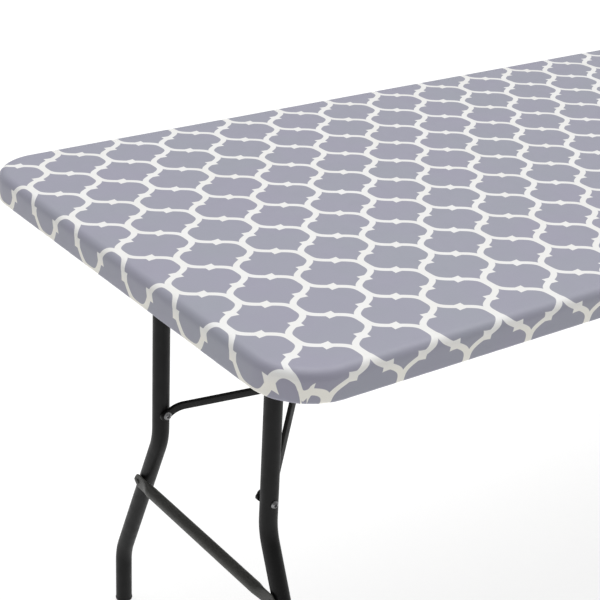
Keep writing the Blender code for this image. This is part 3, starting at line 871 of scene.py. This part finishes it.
# --- the tablecloth ------------------------------------------------------------------------
@dataclass
class FittedCloth(Assembly):
    """Elastic-edged cover: printed vinyl on flannel, a gathered hem and its stitching."""

    corner_radius: float = 0.0762
    upper_radius: float = 0.0132
    lower_radius: float = 0.0042
    thickness: float = 0.0014
    return_inset: float = 0.0342
    corner_steps: int = 18
    side_step: float = 0.0098
    flat_steps: int = 6
    upper_steps: int = 8
    skirt_steps: int = 4
    lower_steps: int = 6
    return_steps: int = 3
    casing_half: float = 0.0060
    casing_height: float = 0.0060
    casing_lap: float = 0.0019
    casing_sides: int = 14
    casing_lift: float = 0.0016
    casing_side_step: float = 0.0032
    casing_corner_steps: int = 26
    gather_pitch: float = 0.0135
    gather_start: float = 0.35
    skirt_gather: tuple[float, float] = (0.00035, 0.0012)
    return_gather: tuple[float, float] = (0.0004, 0.0009)
    casing_gather: tuple[float, float] = (0.0008, 0.0005)
    casing_pitch: float = 0.7
    casing_print: tuple[float, float] = (0.95, 0.9)
    slack: float = 0.0005
    slack_busy: float = 5.0
    under_band: float = 0.002
    stitch_pitch: float = 0.0042
    stitch_half: tuple[float, float, float] = (0.0015, 0.00035, 0.00035)
    stitch_inset: float = 0.0046
    stitch_drop: float = 0.0002
    mitre: float = 0.17
    mitre_turn: float = 0.912
    corner_spread: float = 0.55
    corner_slide: float = 0.08
    end_pull: float = 0.974
    end_slide: float = 0.193
    side_slide: float = 0.195
    side_pull: tuple[float, float, float] = (0.79, 0.45, 0.014)
    low: Vector = field(init=False)
    high: Vector = field(init=False)

    def __post_init__(self) -> None:
        """Take the cover's place from the frame."""
        self.low, self.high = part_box("printed_vinyl_cover")

    @property
    def centre(self) -> tuple[float, float]:
        """The corner arcs' centre, in the quadrant of +X and +Y."""
        return self.high.x - self.corner_radius, self.high.y - self.corner_radius

    @property
    def hem_radius(self) -> float:
        """Radius of the return's inner edge round a corner."""
        return self.corner_radius - self.return_inset

    def edge_profile(self) -> list[tuple[float, float]]:
        """Outline of the outer face from the corner's centre to the hem.

        Returns:
            Distances from the corner's centre and heights.
        """
        flat = self.corner_radius - self.upper_radius
        tuck = self.corner_radius - self.lower_radius
        top, bottom = self.high.z, self.low.z
        upper, lower = top - self.upper_radius, bottom + self.lower_radius
        outline = [(flat * step / self.flat_steps, top) for step in range(self.flat_steps)]
        outline += [(flat + self.upper_radius * math.sin(angle),
                     top - self.upper_radius * (1 - math.cos(angle)))
                    for angle in quarter(self.upper_steps)]
        outline += [(self.corner_radius, upper + (lower - upper) * step / self.skirt_steps)
                    for step in range(1, self.skirt_steps)]
        outline += [(self.corner_radius - self.lower_radius * (1 - math.cos(angle)),
                     lower - self.lower_radius * math.sin(angle))
                    for angle in quarter(self.lower_steps)]
        outline += [(tuck + (self.hem_radius - tuck) * step / self.return_steps, bottom)
                    for step in range(1, self.return_steps + 1)]
        return outline

    def lay_round(self, bm: bmesh.types.BMesh, outline: Profile, step_length: float,
                  corner_steps: int, closed: bool = False) -> None:
        """Carry an outline all the way round the table, corner by corner.

        Args:
            bm: the bmesh to add to.
            outline: distances from a corner's centre and heights.
            step_length: longest piece along a straight side.
            corner_steps: pieces round a corner.
            closed: the outline is a loop.
        """
        cx, cy = self.centre
        verts = [bm.verts.new((cx + radius, cy, height)) for radius, height in outline]
        edges = [bm.edges.new(pair) for pair in zip(verts, verts[1:])]
        if closed:
            edges.append(bm.edges.new((verts[-1], verts[0])))
        chain = verts + edges
        runs = (Vector((-2 * cx, 0, 0)), Vector((0, -2 * cy, 0)), Vector((2 * cx, 0, 0)),
                Vector((0, 2 * cy, 0)))
        for (sx, sy), run in zip(QUADRANTS, runs):
            chain = bmesh.ops.spin(bm, geom=chain, cent=(sx * cx, sy * cy, 0), axis=UP,
                                   angle=math.pi / 2, steps=corner_steps,
                                   use_duplicate=False)["geom_last"]
            steps = math.ceil(run.length / step_length)
            chain = bmesh.ops.spin(bm, geom=chain, cent=(0, 0, 0), axis=UP, angle=0.0,
                                   dvec=run / steps, steps=steps,
                                   use_duplicate=False)["geom_last"]
        bmesh.ops.remove_doubles(bm, verts=bm.verts, dist=SEAM_MERGE)

    def outward(self, point: Vector) -> tuple[Vector, Vector]:
        """Find the way out to a point from the rectangle between the corner centres.

        Args:
            point: a point of the cloth.

        Returns:
            The rectangle's nearest point and the spoke from it, both level.
        """
        cx, cy = self.centre
        base = Vector((max(-cx, min(cx, point.x)), max(-cy, min(cy, point.y)), 0.0))
        return base, Vector((point.x, point.y, 0.0)) - base

    def unrolled(self, point: Vector, outline: Profile, lengths: Sequence[float]) -> tuple:
        """Where a point of the cover lies on the flat print.

        Args:
            point: a point on the undisturbed cover.
            outline: the outline the cover was made with.
            lengths: distance along the outline at each of its points.

        Returns:
            Flat X and Y in metres.
        """
        base, spoke = self.outward(point)
        nearest = min(range(len(outline)), key=lambda i: abs(outline[i][0] - spoke.length)
                      + abs(outline[i][1] - point.z))
        flat_radius = self.corner_radius - self.upper_radius
        down = lengths[nearest] - flat_radius
        if spoke.length < MERGE or down <= 0:
            return point.x, point.y
        out = spoke.normalized()
        kink = base + out * flat_radius
        angle = math.atan2(abs(out.y), abs(out.x))
        share = eased(0.5 + (angle - self.mitre_turn) / (2 * self.mitre))
        spread = self.corner_spread * eased(down / (self.upper_radius * math.pi / 2))
        sign_x, sign_y = math.copysign(1.0, out.x), math.copysign(1.0, out.y)
        first, more, knee = self.side_pull
        end_down = down * self.end_pull
        side_down = down * first + more * max(0.0, down - knee)
        end_way = Vector((kink.x + sign_x * end_down,
                          base.y + sign_y * self.round_length(angle, spread)
                          + end_down * (self.end_slide + self.corner_slide * math.sin(angle))))
        side_way = Vector((base.x + sign_x * self.round_length(math.pi / 2 - angle, spread)
                           + side_down * (self.side_slide + self.corner_slide * math.cos(angle)),
                           kink.y + sign_y * side_down))
        flat = end_way * (1 - share) + side_way * share
        return flat.x, flat.y

    def round_length(self, angle: float, spread: float) -> float:
        """How far the print runs on round a corner.

        Args:
            angle: how far round the corner, from the side the print belongs to.
            spread: 0 for the straight distance, 1 for the length round the cloth.

        Returns:
            The distance in metres.
        """
        straight = (self.corner_radius - self.upper_radius) * math.sin(angle)
        return straight * (1 - spread) + self.corner_radius * angle * spread

    def fold(self, point: Vector, base: Vector, out: Vector, pitch: float, busy: float,
             sway: float, layer: float) -> float:
        """Height of the gathers at a point, which come at a slightly uneven pitch.

        Args:
            point: the point.
            base: its nearest point between the corner centres.
            out: the way out from there.
            pitch: the gathers' mean distance round the hem.
            busy: how often per metre the pitch changes.
            sway: how much it changes.
            layer: the depth in the noise, so that two layers differ.

        Returns:
            A height from -1 to 1.
        """
        run = base.x * out.y - base.y * out.x + self.corner_radius * math.atan2(out.y, out.x)
        wander = noise.noise(Vector((point.x * busy, point.y * busy, layer)))
        return math.sin(2 * math.pi * run / pitch + sway * wander)

    def ripple(self, point: Vector) -> Vector:
        """How far the elastic draws the cloth at a point: fine tucks towards the hem.

        Args:
            point: a point on the undisturbed cover.

        Returns:
            The displacement.
        """
        base, spoke = self.outward(point)
        if spoke.length < MERGE:
            return Vector()
        out = spoke.normalized()
        corner = abs(out.x * out.y) * 2
        sunk = (self.high.z - point.z) / (self.high.z - self.low.z)
        tucked = max(0.0, (self.corner_radius - spoke.length) / self.return_inset)
        under = tucked if point.z < self.low.z + self.under_band else 0.0
        fold = self.fold(point, base, out, self.gather_pitch, busy=14, sway=2.2, layer=3.0)
        skirt = max(0.0, sunk - self.gather_start) ** 2
        even, more = self.skirt_gather
        in_out = out * (fold * (even + more * corner) * skirt * (1 - under))
        even, more = self.return_gather
        up_down = Vector((0, 0, fold)) * (under * (even + more * corner))
        level = Vector((point.x, point.y, 0.0))
        sag = noise.noise(level * self.slack_busy) * self.slack * (1 - sunk)
        return in_out + up_down + Vector((0, 0, -abs(sag)))

    def make_cover(self) -> bpy.types.Object:
        """Make the cover itself.

        Returns:
            The sheet, vinyl outside and flannel inside.
        """
        outline = self.edge_profile()
        lengths = [0.0]
        for one, two in zip(outline, outline[1:]):
            lengths.append(lengths[-1] + math.dist(one, two))
        bm = bmesh.new()
        self.lay_round(bm, outline, self.side_step, self.corner_steps)
        cx, cy = self.centre
        middle = Matrix.Translation((0, 0, self.high.z)) @ Matrix.Diagonal((cx, cy, 1, 1))
        bmesh.ops.create_grid(bm, x_segments=math.ceil(2 * cx / self.side_step),
                              y_segments=math.ceil(2 * cy / self.side_step), size=1.0,
                              matrix=middle)
        bmesh.ops.remove_doubles(bm, verts=bm.verts, dist=SEAM_MERGE)
        bmesh.ops.recalc_face_normals(bm, faces=bm.faces)
        top = max(bm.faces, key=lambda f: f.calc_center_median().z)
        if top.normal.z < 0:
            bmesh.ops.reverse_faces(bm, faces=bm.faces)
        chart = bm.loops.layers.uv.new(CUT_MAP)
        flat = {v: self.unrolled(v.co, outline, lengths) for v in bm.verts}
        for face in bm.faces:
            for loop in face.loops:
                loop[chart].uv = flat[loop.vert]
        for vert in bm.verts:
            vert.co += self.ripple(vert.co)
        cover = self.add("printed_tablecloth", bm, Slot.VINYL,
                         ["printed_vinyl_cover", "flannel_backing"], sharp=70.0,
                         materials=[self.finishes.of(Slot.VINYL), self.finishes.of(Slot.FLANNEL)],
                         recalculate=False)
        wall = cover.modifiers.new("two layers", "SOLIDIFY")
        wall.thickness = self.thickness
        wall.offset = -1.0
        wall.material_offset = 1
        wall.material_offset_rim = 1
        return cover

    def make_casing(self) -> bpy.types.Object:
        """Make the gathered casing that holds the elastic.

        Returns:
            The casing.
        """
        mid_r = self.hem_radius + self.casing_lap - self.casing_half
        mid_z = self.low.z + self.casing_lift - self.casing_height / 2
        outline = []
        for step in range(self.casing_sides):
            angle = 2 * math.pi * step / self.casing_sides
            outline.append((mid_r + self.casing_half * math.cos(angle),
                            mid_z + self.casing_height / 2 * math.sin(angle)))
        bm = bmesh.new()
        self.lay_round(bm, outline, self.casing_side_step, self.casing_corner_steps, closed=True)
        bmesh.ops.recalc_face_normals(bm, faces=bm.faces)
        chart = bm.loops.layers.uv.new(CUT_MAP)
        for face in bm.faces:
            for loop in face.loops:
                place = loop.vert.co
                loop[chart].uv = (place.x * self.casing_print[0],
                                  place.y * self.casing_print[1] + place.z)
        for vert in bm.verts:
            base, spoke = self.outward(vert.co)
            out = spoke.normalized()
            fold = self.fold(vert.co, base, out, self.gather_pitch * self.casing_pitch, busy=22, sway=2.6,
                             layer=9.0)
            inner = (mid_r - spoke.length) / self.casing_half
            lower = max(0.0, (mid_z - vert.co.z) / self.casing_height * 2)
            even, more = self.casing_gather
            amount = even + more * abs(out.x * out.y) * 2
            vert.co += (out * (-amount * fold * (0.5 + 0.5 * inner))
                        - UP * (lower * amount * (0.6 + 0.6 * fold)))
        return self.add("hem_casing_gathered", bm, Slot.VINYL, ["hem_casing"], sharp=80.0)

    def stitch(self, bm: bmesh.types.BMesh, place: Vector, angle: float) -> list:
        """Add one stitch.

        Args:
            bm: the bmesh to add to.
            place: the stitch's middle.
            angle: its direction in plan.

        Returns:
            Its vertices.
        """
        turn = Matrix.Rotation(angle, 4, "Z") @ Matrix.Diagonal((*self.stitch_half, 1.0))
        return bmesh.ops.create_icosphere(bm, subdivisions=1, radius=1.0,
                                          matrix=Matrix.Translation(place) @ turn)["verts"]

    def stitch_run(self, bm: bmesh.types.BMesh, start: Vector, run: Vector) -> None:
        """Sew a straight row by doubling it.

        Args:
            bm: the bmesh to add to.
            start: the row's start.
            run: from its start to its end.
        """
        count = int(run.length / self.stitch_pitch)
        row = self.stitch(bm, start + run.normalized() * self.stitch_pitch / 2,
                          math.atan2(run.y, run.x))
        each = len(row)
        made = 1
        while made < count:
            copied = min(made, count - made)
            part = row[:copied * each]
            faces = list({f for v in part for f in v.link_faces})
            edges = list({e for v in part for e in v.link_edges})
            copy = bmesh.ops.duplicate(bm, geom=part + edges + faces)["geom"]
            verts = [g for g in copy if isinstance(g, bmesh.types.BMVert)]
            bmesh.ops.translate(bm, verts=verts, vec=run / count * made)
            row += verts
            made += copied

    def stitch_arc(self, bm: bmesh.types.BMesh, centre: Vector, radius: float,
                   middle: float) -> None:
        """Sew round a corner.

        Args:
            bm: the bmesh to add to.
            centre: the corner's centre.
            radius: the row's radius.
            middle: direction of the corner's middle, in plan.
        """
        count = round(math.pi / 2 * radius / self.stitch_pitch)
        for step in range(count):
            angle = middle + math.pi / 2 * ((step + 0.5) / count - 0.5)
            spoke = Vector((math.cos(angle), math.sin(angle), 0.0)) * radius
            self.stitch(bm, centre + spoke, angle + math.pi / 2)

    def make_stitches(self) -> bpy.types.Object:
        """Make the row of stitches along the casing.

        Returns:
            The stitches.
        """
        cx, cy = self.centre
        radius = self.hem_radius + self.stitch_inset
        bm = bmesh.new()
        for sx, sy in QUADRANTS:
            corner = Vector((sx * cx, sy * cy, self.low.z - self.stitch_drop))
            if sx == sy:
                start, run = corner + ALONG_Y * sy * radius, ALONG_X * (-2 * sx * cx)
            else:
                start, run = corner + ALONG_X * sx * radius, ALONG_Y * (-2 * sy * cy)
            self.stitch_run(bm, start, run)
            self.stitch_arc(bm, corner, radius, math.atan2(sy, sx))
        return self.add("hem_stitches", bm, Slot.VINYL, sharp=80.0,
                        materials=[self.finishes.thread])

    def build(self) -> None:
        cover = self.make_cover()
        casing = self.make_casing()
        stitches = self.make_stitches()
        self.dress("hem_elastic", Slot.ELASTIC)


# --- the folding ends ----------------------------------------------------------------------
@dataclass
class EndAssembly(Assembly):
    """An assembly at one end of the table."""

    end: End

    def name(self, word: str, side: Side | None = None) -> str:
        """Return a name made of a word, the end and, where one is given, the side."""
        return "_".join([word, self.end.word] + ([side.word] if side else []))


@dataclass
class LegFrame(EndAssembly):
    """One folding end: pivot tube, two bent legs, stretcher, plugs and bolts."""

    pivot_z: float = 0.6875
    pivot_radius: float = 0.0111
    pivot_bore: float = 0.0099
    pivot_chamfer: float = 0.0004
    leg_radius: float = 0.0127
    leg_top_y: float = 0.139
    leg_foot_y: float = 0.250
    leg_rise: float = 0.004
    bend_top_z: float = 0.357
    bend_low_z: float = 0.094
    bend_handle: float = 0.020
    bend_steps: int = 12
    leg_sides: int = 48
    weld_beads: int = 30
    weld_half: tuple[float, float, float] = (0.0024, 0.0024, 0.0022)
    weld_reach: float = 0.0008
    stretcher_radius: float = 0.009
    flat_half: tuple[float, float] = (0.0025, 0.012)
    stretcher_half: float = 0.1855
    tip_length: float = 0.011
    tip_least: float = 0.06
    tip_thin: float = 0.55
    tip_start: float = 0.02
    flat_length: float = 0.022
    swell_length: float = 0.026
    stretcher_steps: int = 8
    stretcher_sides: int = 36
    bolt_z: float = 0.404
    arm_tab_y: float = 0.123
    head_gap: float = 0.0033
    nut_gap: float = 0.0002

    @property
    def body(self) -> str:
        """The body this frame rides on."""
        return self.name("legs")

    @property
    def x(self) -> float:
        """The legs' X."""
        low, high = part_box(self.name("pivot_tube"))
        return (low.x + high.x) / 2

    def make_leg(self, side: Side) -> None:
        """Make one bent leg.

        Args:
            side: which leg.
        """
        node = self.name("leg", side)
        low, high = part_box(node)
        top_y, foot_y = side.value * self.leg_top_y, side.value * self.leg_foot_y
        corners = [Vector((self.x, top_y, high.z + self.leg_rise)),
                   Vector((self.x, top_y, self.bend_top_z)),
                   Vector((self.x, foot_y, self.bend_low_z)),
                   Vector((self.x, foot_y, low.z))]
        bm = bmesh.new()
        path = Workshop.rounded_path(corners, self.bend_handle, self.bend_steps)
        Workshop.tube(bm, path, self.leg_radius, self.leg_sides)
        self.add(self.name("bent_leg", side), bm, Slot.STEEL, [node])

    def make_weld(self, side: Side) -> None:
        """Make the weld where a leg meets the pivot tube.

        Args:
            side: which leg.
        """
        bm = bmesh.new()
        reach = self.leg_radius + self.weld_reach
        for step in range(self.weld_beads):
            angle = 2 * math.pi * step / self.weld_beads
            across = reach * math.cos(angle)
            drop = math.sqrt(max(0.0, self.pivot_radius ** 2 - across ** 2))
            centre = Vector((self.x + across,
                             side.value * self.leg_top_y + reach * math.sin(angle),
                             self.pivot_z - drop))
            place = Matrix.Translation(centre) @ Matrix.Diagonal((*self.weld_half, 1.0))
            bmesh.ops.create_icosphere(bm, subdivisions=2, radius=1.0, matrix=place)
        self.add(self.name("pivot_weld", side), bm, Slot.STEEL, sharp=70.0)

    def make_pivot_tube(self) -> None:
        """Make the round tube the end folds on."""
        node = self.name("pivot_tube")
        low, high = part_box(node)
        length, chamfer = high.y - low.y, self.pivot_chamfer
        profile = ((self.pivot_bore, 0.0), (self.pivot_radius - chamfer, 0.0),
                   (self.pivot_radius, chamfer), (self.pivot_radius, length - chamfer),
                   (self.pivot_radius - chamfer, length), (self.pivot_bore, length),
                   (self.pivot_bore, 0.0))
        bm = bmesh.new()
        Workshop.turned(bm, profile, Vector((self.x, low.y, self.pivot_z)), ALONG_Y, 40)
        self.add("round_" + node, bm, Slot.STEEL, [node])

    def stretcher_stations(self) -> list[tuple[float, float, float]]:
        """Section of half the stretcher, from its rounded tip to the full tube.

        Returns:
            Distances from the middle plane, and scales of the tube's X and height.
        """
        thick, tall = (half / self.stretcher_radius for half in self.flat_half)
        stations = [(self.stretcher_half - self.tip_length * (1 - math.sin(angle)),
                     thick * (self.tip_thin
                              + (1 - self.tip_thin) * math.sin(max(angle, self.tip_start))),
                     max(tall * math.cos(angle), self.tip_least))
                    for angle in reversed(quarter(self.stretcher_steps))]
        for step in range(1, self.stretcher_steps + 1):
            share = step / self.stretcher_steps
            ease = eased(share)
            stations.append((self.stretcher_half - self.flat_length - self.swell_length * share,
                             thick + (1 - thick) * ease, tall + (1 - tall) * ease))
        return stations

    def make_stretcher(self) -> None:
        """Make the cross tube with its flattened, rounded ends and their rivets."""
        node = self.name("stretcher")
        low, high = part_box(node)
        middle = (low + high) / 2
        stations = self.stretcher_stations()
        row = [(-y, x, z) for y, x, z in stations] + list(reversed(stations))
        bm = bmesh.new()
        Workshop.tube(bm, [Vector((middle.x, y, middle.z)) for y, _, _ in row],
                      self.stretcher_radius, self.stretcher_sides, [(x, z) for _, x, z in row])
        self.add("flattened_" + node, bm, Slot.DARK_STEEL, [node])
        rivets = bmesh.new()
        out = ALONG_X * self.end.value
        profile = ((0.0, 0.0016), (0.0022, 0.0013), (0.0036, 0.0006), (0.0041, 0.0),
                   (0.0041, -0.0006))
        for side in Side:
            face = Vector((middle.x, side.value * self.leg_at(middle.z), middle.z))
            Workshop.turned(rivets, profile, face + out * self.flat_half[0], out, 24)
        self.add(self.name("stretcher_rivets"), rivets, Slot.DARK_STEEL)

    def leg_at(self, z: float) -> float:
        """Distance of a leg's centre line from the middle plane at a height.

        Args:
            z: the height.

        Returns:
            The distance.
        """
        share = (self.bend_top_z - z) / (self.bend_top_z - self.bend_low_z)
        share = max(0.0, min(1.0, share))
        return self.leg_top_y + (self.leg_foot_y - self.leg_top_y) * share

    def make_plug(self, side: Side) -> None:
        """Make the rounded plastic foot of one leg.

        Args:
            side: which leg.
        """
        node = self.name("floor_plug", side)
        low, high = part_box(node)
        profile = ((0.0, 0.0), (0.0096, 0.0), (0.0118, 0.0004), (0.0129, 0.0014),
                   (0.0133, 0.0026), (0.0133, 0.0042), (0.0130, 0.0050), (0.0108, 0.0050),
                   (0.0108, 0.0230), (0.0102, 0.0240), (0.0, 0.0240))
        bm = bmesh.new()
        Workshop.turned(bm, profile, Vector(((low.x + high.x) / 2, (low.y + high.y) / 2, low.z)),
                        UP, 40)
        self.add(self.name("round_foot", side), bm, Slot.PLASTIC, [node])

    def make_bolt(self, side: Side) -> None:
        """Make the shouldered bolt through a leg and its brace arm.

        Args:
            side: which leg.
        """
        inner = -(self.leg_top_y - self.arm_tab_y + self.head_gap)
        outer = self.leg_radius + self.nut_gap
        head = ((0.0, -0.0008), (0.0017, -0.0009), (0.0022, -0.0022), (0.0029, -0.0030),
                (0.0037, -0.0027), (0.0044, -0.0018), (0.0058, -0.0014), (0.0063, -0.0006),
                (0.0061, 0.0), (0.0040, 0.0))
        nut = ((0.0040, 0.0), (0.0056, 0.0), (0.0057, 0.0006), (0.0052, 0.0013),
               (0.0043, 0.0017), (0.0037, 0.0030), (0.0029, 0.0034), (0.0022, 0.0027),
               (0.0017, 0.0010), (0.0, 0.0009))
        profile = ([(radius, inner + height) for radius, height in head]
                   + [(radius, outer + height) for radius, height in nut])
        bm = bmesh.new()
        Workshop.turned(bm, profile, Vector((self.x, side.value * self.leg_top_y, self.bolt_z)),
                        ALONG_Y * side.value, 32)
        self.add(self.name("shouldered_bolt", side), bm, Slot.ZINC,
                 [self.name("brace_bolt", side)], sharp=35.0)

    def build(self) -> None:
        """Make the whole folding end."""
        self.make_pivot_tube()
        self.make_stretcher()
        for side in Side:
            self.make_leg(side)
            self.make_weld(side)
            self.make_plug(side)
            self.make_bolt(side)


@dataclass
class Brace(EndAssembly):
    """One over-centre brace: two arms from the legs, a link to the bracket, and their pins."""

    pivot_x: float = 0.7614
    bolt_z: float = 0.404
    pivot_z: float = 0.6875
    slope: float = math.radians(27.0)
    arm_half: tuple[float, float] = (0.003, 0.006)
    arm_edge: float = 0.0012
    tip: float = 0.010
    tail: float = 0.009
    tip_least: float = 0.12
    tab_y: float = 0.123
    stem_y: float = 0.0115
    knee: float = 0.0200
    apex: float = 0.1452
    bend_handle: float = 0.011
    bend_steps: int = 8
    tip_steps: int = 6
    rivet_gap: float = 0.0002

    @property
    def body(self) -> str:
        """The body the arms ride on."""
        return self.name("brace")

    @property
    def arm_length(self) -> float:
        """From the bolt to the knee."""
        rise = self.pivot_z - self.bolt_z
        return (rise / math.sin(self.slope) + rise / math.tan(self.slope) - rise) / 2

    def at(self, distance: float, y: float, lift: float = 0.0) -> Vector:
        """A point on the brace line.

        Args:
            distance: metres from the bolt.
            y: metres from the middle plane.
            lift: metres square to the line.

        Returns:
            The point.
        """
        run = math.cos(self.slope)
        rise = math.sin(self.slope)
        x = -self.pivot_x + distance * run - lift * rise
        return Vector((-self.end.value * x, y, self.bolt_z + distance * rise + lift * run))

    def make_arm(self, side: Side) -> None:
        """Make one arm: a flat bar from its leg to the knee, with two bends.

        Args:
            side: which arm.
        """
        stations = ((-self.tip, self.tab_y), (self.knee, self.tab_y), (self.apex, self.stem_y),
                    (self.arm_length + self.tail, self.stem_y))
        path = Workshop.rounded_path([self.at(distance, side.value * y)
                                      for distance, y in stations], self.bend_handle,
                                     self.bend_steps)
        onward = (path[1] - path[0]).normalized()
        back = (path[-2] - path[-1]).normalized()
        tall = (self.at(0, 0, 1.0) - self.at(0, 0)).normalized()
        reaches = [self.arm_half[1] * (1 - math.cos(angle)) for angle in quarter(self.tip_steps)]
        rounding = [(1.0, max(self.tip_least, math.sin(angle))) for angle in quarter(self.tip_steps)]
        points = ([path[0] + onward * reach for reach in reaches] + path[1:-1]
                  + [path[-1] + back * reach for reach in reversed(reaches)])
        scales = rounding + [(1.0, 1.0)] * (len(path) - 2) + rounding[::-1]
        bm = bmesh.new()
        Workshop.bar(bm, points, tall.cross(onward), self.arm_half, self.arm_edge, scales)
        self.add(self.name("flat_arm", side), bm, Slot.STEEL, [self.name("brace_arm", side)],
                 sharp=32.0)

    def make_knee_rivet(self, side: Side) -> None:
        """Make the half rivet through one arm at the knee.

        Args:
            side: which arm.
        """
        inner = -self.arm_half[0]
        outer = self.arm_half[0] + self.rivet_gap
        profile = ((0.0, inner), (0.0030, inner), (0.0030, outer), (0.0054, outer),
                   (0.0053, outer + 0.0008), (0.0044, outer + 0.0017),
                   (0.0024, outer + 0.0023), (0.0, outer + 0.0025))
        bm = bmesh.new()
        Workshop.turned(bm, profile, self.at(self.arm_length, side.value * self.stem_y),
                        ALONG_Y * side.value)
        self.add(self.name("domed_rivet", side), bm, Slot.ZINC, [self.name("knee_rivet", side)],
                 sharp=35.0)

    def build(self) -> None:
        """Make the arms and dress the link."""
        for side in Side:
            self.make_arm(side)
            self.make_knee_rivet(side)
            self.dress(self.name("knee_spacer", side), Slot.ZINC)
        self.dress(self.name("brace_link"), Slot.DARK_STEEL)


@dataclass
class Underframe(Assembly):
    """Board, rails, bushes, brackets and screws under the cloth."""

    washer: float = 0.0009
    head_radii: tuple[float, float] = (0.0029, 0.0031)
    head_chamfer: float = 0.0003
    rail_screws: int = 4

    def make_screw(self, node: str) -> None:
        """Make a washer-headed hexagon screw in a screw's place.

        Args:
            node: the CAD screw.
        """
        low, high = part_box(node)
        centre = Vector(((low.x + high.x) / 2, (low.y + high.y) / 2, high.z))
        tall = high.z - low.z
        bm = bmesh.new()
        Workshop.turned(bm, ((0.0, 0.0), (0.0038, 0.0), (0.0041, 0.0002), (0.0041, 0.0006),
                             (0.0030, self.washer), (0.0, self.washer)), centre, -UP, 24)
        head = bmesh.ops.create_cone(
            bm, cap_ends=True, segments=6, radius1=self.head_radii[0], radius2=self.head_radii[1],
            depth=tall - self.washer,
            matrix=Matrix.Translation(centre - UP * ((tall + self.washer) / 2)))
        lowest = {v for v in head["verts"] if v.co.z < centre.z - tall / 2}
        rim = {e for v in lowest for e in v.link_edges if e.other_vert(v) in lowest}
        bmesh.ops.bevel(bm, geom=list(rim), offset=self.head_chamfer, offset_type="OFFSET",
                        segments=2, profile=0.5, affect="EDGES", material=-1)
        self.add("hex_" + node, bm, Slot.ZINC, [node], sharp=30.0)

    def build(self) -> None:
        """Dress the underside."""
        self.dress("tabletop_board", Slot.RESIN)
        for side in Side:
            self.dress(f"side_rail_{side.word}", Slot.STEEL)
            for number in range(1, self.rail_screws + 1):
                self.make_screw(f"rail_screw_{side.word}_{number}")
        for end in End:
            self.dress(f"link_bracket_{end.word}", Slot.STEEL)
            self.dress(f"link_pin_{end.word}", Slot.ZINC)
            for side in Side:
                self.dress(f"pivot_bush_{end.word}_{side.word}", Slot.PLASTIC)
                self.make_screw(f"bracket_screw_{end.word}_{side.word}")


# --- studio --------------------------------------------------------------------------------
@dataclass
class Studio:
    """Pale floor, soft light and the camera."""

    camera_place: tuple[float, float, float] = (-1.7673, -1.5287, 1.5210)
    azimuth: float = 36.817
    pitch: float = 25.589
    roll: float = 2.886
    lens: float = 91.97
    sensor: float = 36.0
    floor_radius: float = 30.0
    floor_drop: float = 0.0005
    light_way: tuple[float, float, float] = (-0.22, -0.19, -1.0)
    light_spread: float = 64.0
    light_power: float = 2.92
    ambient: float = 0.20

    @staticmethod
    def stand(name: str, data: bpy.types.ID) -> bpy.types.Object:
        """Put something new in the scene.

        Args:
            name: its name.
            data: its mesh, light or camera.

        Returns:
            The new object.
        """
        obj = bpy.data.objects.new(name, data)
        bpy.context.scene.collection.objects.link(obj)
        return obj

    def make_camera(self) -> None:
        """Stand the camera and make it the scene's."""
        data = bpy.data.cameras.new("camera")
        data.lens = self.lens
        data.sensor_width = self.sensor
        camera = self.stand("camera", data)
        turn = (Matrix.Rotation(math.radians(-self.azimuth), 4, "Z")
                @ Matrix.Rotation(math.radians(90 - self.pitch), 4, "X")
                @ Matrix.Rotation(math.radians(self.roll), 4, "Z"))
        camera.matrix_world = Matrix.Translation(self.camera_place) @ turn
        bpy.context.scene.camera = camera

    def make_floor(self) -> None:
        """Lay the floor."""
        bm = bmesh.new()
        bmesh.ops.create_circle(bm, cap_ends=True, segments=96, radius=self.floor_radius)
        mesh = bpy.data.meshes.new("floor")
        bm.to_mesh(mesh)
        bm.free()
        mesh.materials.append(PaleFloor().build())
        floor = self.stand("floor", mesh)
        floor.location.z = -self.floor_drop

    def make_light(self) -> None:
        """Hang one distant, very soft light."""
        data = bpy.data.lights.new("overhead_softbox", "SUN")
        data.angle = math.radians(self.light_spread)
        data.energy = self.light_power
        lamp = self.stand("overhead_softbox", data)
        lamp.rotation_mode = "QUATERNION"
        lamp.rotation_quaternion = Vector(self.light_way).to_track_quat("-Z", "Y")

    def make_world(self) -> None:
        """Fill the room with even white light."""
        world = bpy.data.worlds.new("studio")
        bpy.context.scene.world = world
        world.use_nodes = True
        background = world.node_tree.nodes["Background"]
        background.inputs["Color"].default_value = (1.0, 1.0, 1.0, 1.0)
        background.inputs["Strength"].default_value = self.ambient

    def build(self) -> None:
        """Set up the studio."""
        self.make_camera()
        self.make_floor()
        self.make_world()
        self.make_light()
        bpy.context.scene.view_settings.view_transform = "Standard"


def main() -> None:
    """Build the table's looks in order and report each piece."""
    logging.basicConfig(level=logging.INFO, format="%(name)s: %(message)s")
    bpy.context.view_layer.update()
    finishes = Finishes()
    Studio().build()
    FittedCloth(finishes).build()
    Underframe(finishes).build()
    for end in End:
        LegFrame(finishes, end).build()
        Brace(finishes, end).build()
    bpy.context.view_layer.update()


if __name__ == "__main__":
    main()
